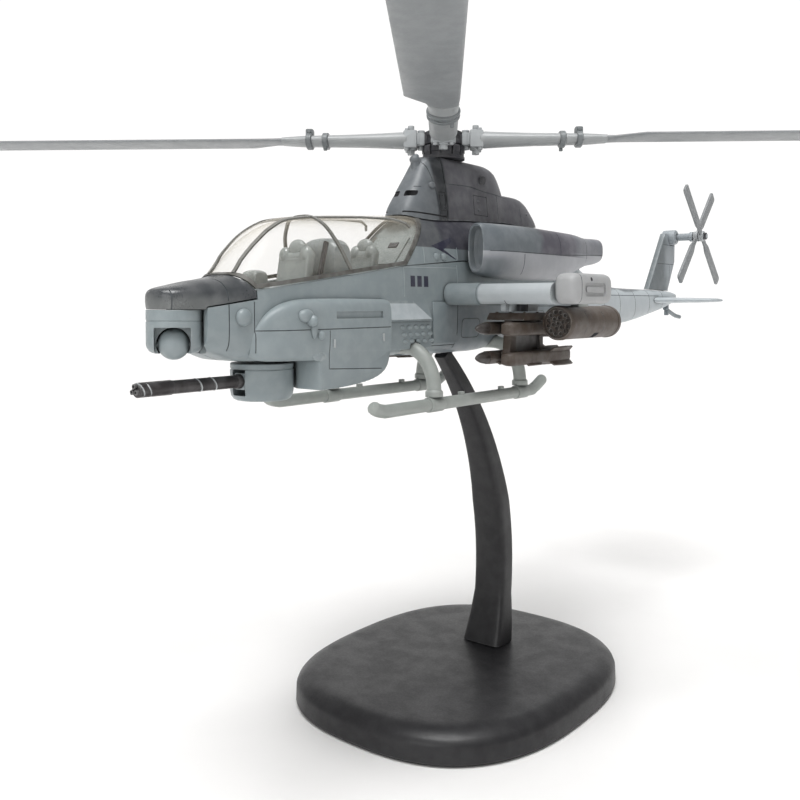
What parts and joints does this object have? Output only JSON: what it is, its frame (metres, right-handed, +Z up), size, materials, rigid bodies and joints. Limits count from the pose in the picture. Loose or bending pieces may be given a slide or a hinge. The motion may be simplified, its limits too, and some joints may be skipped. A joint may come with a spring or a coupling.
{
  "type": "helicopter scale model on a stand",
  "caption": "Narrow two-seat attack helicopter scale model with skids, stub wings, turning rotors, gun and sensor turrets, lifted on a curved display stand.",
  "frame": {"origin": "on the flat underside of the stand's base, straight below the main rotor mast", "axes": "+Z up; -Y towards the model's nose and +Y towards its tail; +X towards the model's port (left) side"},
  "size_m": [0.223, 0.2852, 0.1528],
  "materials": {
    "hull": "satin",
    "dark_panels": "satin",
    "pods_pale": "matte",
    "canopy_clear": "gloss",
    "cabin": "matte",
    "stores": "matte",
    "blades": "matte",
    "gear": "satin",
    "rotor_black": "matte",
    "stand_black": "gloss",
    "screw_steel": "satin"
  },
  "bodies": {
    "stand": {"stand_base": "stand_black", "stand_arm": "stand_black", "base_screw": "screw_steel"},
    "airframe": {"fuselage_left": "hull", "fuselage_right": "hull", "fuselage_screw_front": "screw_steel", "fuselage_screw_rear": "screw_steel", "nose_cap": "dark_panels", "canopy": "canopy_clear", "upper_deck": "dark_panels", "tail_boom": "hull", "cockpit_tub": "cabin", "front_seat": "cabin", "rear_seat": "cabin", "front_console": "cabin", "rear_console": "cabin", "cowl_front": "dark_panels", "cowl_rear": "dark_panels", "mast_collar": "rotor_black", "nacelle_left": "hull", "nacelle_right": "hull", "exhaust_left": "dark_panels", "exhaust_right": "dark_panels", "wing_left": "hull", "wing_right": "hull", "wingtip_pod_left": "pods_pale", "wingtip_pod_right": "pods_pale", "rocket_pod_left": "stores", "rocket_pod_right": "stores", "missile_rack_left": "stores", "missile_rack_right": "stores", "missile_inner_upper_left": "stores", "missile_inner_upper_right": "stores", "missile_inner_lower_left": "stores", "missile_inner_lower_right": "stores", "missile_outer_upper_left": "stores", "missile_outer_upper_right": "stores", "missile_outer_lower_left": "stores", "missile_outer_lower_right": "stores", "skid_left": "gear", "skid_right": "gear", "cross_tube_front": "gear", "cross_tube_rear": "gear", "tail_fin": "dark_panels", "stabilizer_left": "hull", "stabilizer_right": "hull", "tail_skid": "hull"},
    "main_rotor": {"rotor_hub": "rotor_black", "main_blade_1": "blades", "main_blade_2": "blades", "main_blade_3": "blades", "main_blade_4": "blades"},
    "tail_rotor": {"tail_rotor_shaft": "rotor_black", "tail_blade_pair_inner": "blades", "tail_blade_pair_outer": "blades"},
    "turret": {"gun_turret": "hull"},
    "gun": {"gun_barrels": "rotor_black"},
    "sensor_turret": {"sensor_housing": "hull"},
    "sensor_eye": {"sensor_ball": "hull"}
  },
  "joints": [
    {"name": "lift_off_stand", "type": "slide", "parent": "stand", "child": "airframe", "axis": [0, 0, 1], "range_m": [0, 0.03]},
    {"name": "main_rotor_spin", "type": "hinge", "parent": "airframe", "child": "main_rotor", "pos_m": [0, 0, 0.1489], "axis": [0, 0, 1], "continuous": true},
    {"name": "tail_rotor_spin", "type": "hinge", "parent": "airframe", "child": "tail_rotor", "pos_m": [0.012, 0.155, 0.1318], "axis": [1, 0, 0], "continuous": true},
    {"name": "turret_yaw", "type": "hinge", "parent": "airframe", "child": "turret", "pos_m": [0, -0.065, 0.0894], "axis": [0, 0, 1], "range_deg": [-70, 70]},
    {"name": "gun_elevation", "type": "hinge", "parent": "turret", "child": "gun", "pos_m": [0, -0.065, 0.0894], "axis": [1, 0, 0], "range_deg": [-5, 10]},
    {"name": "sensor_yaw", "type": "hinge", "parent": "airframe", "child": "sensor_turret", "pos_m": [0, -0.0873, 0.1], "axis": [0, 0, 1], "range_deg": [-167, 73]},
    {"name": "sensor_elevation", "type": "hinge", "parent": "sensor_turret", "child": "sensor_eye", "pos_m": [0.00117, -0.08839, 0.0977], "axis": [0.682, 0.7314, 0], "range_deg": [-30, 60]}
  ]
}
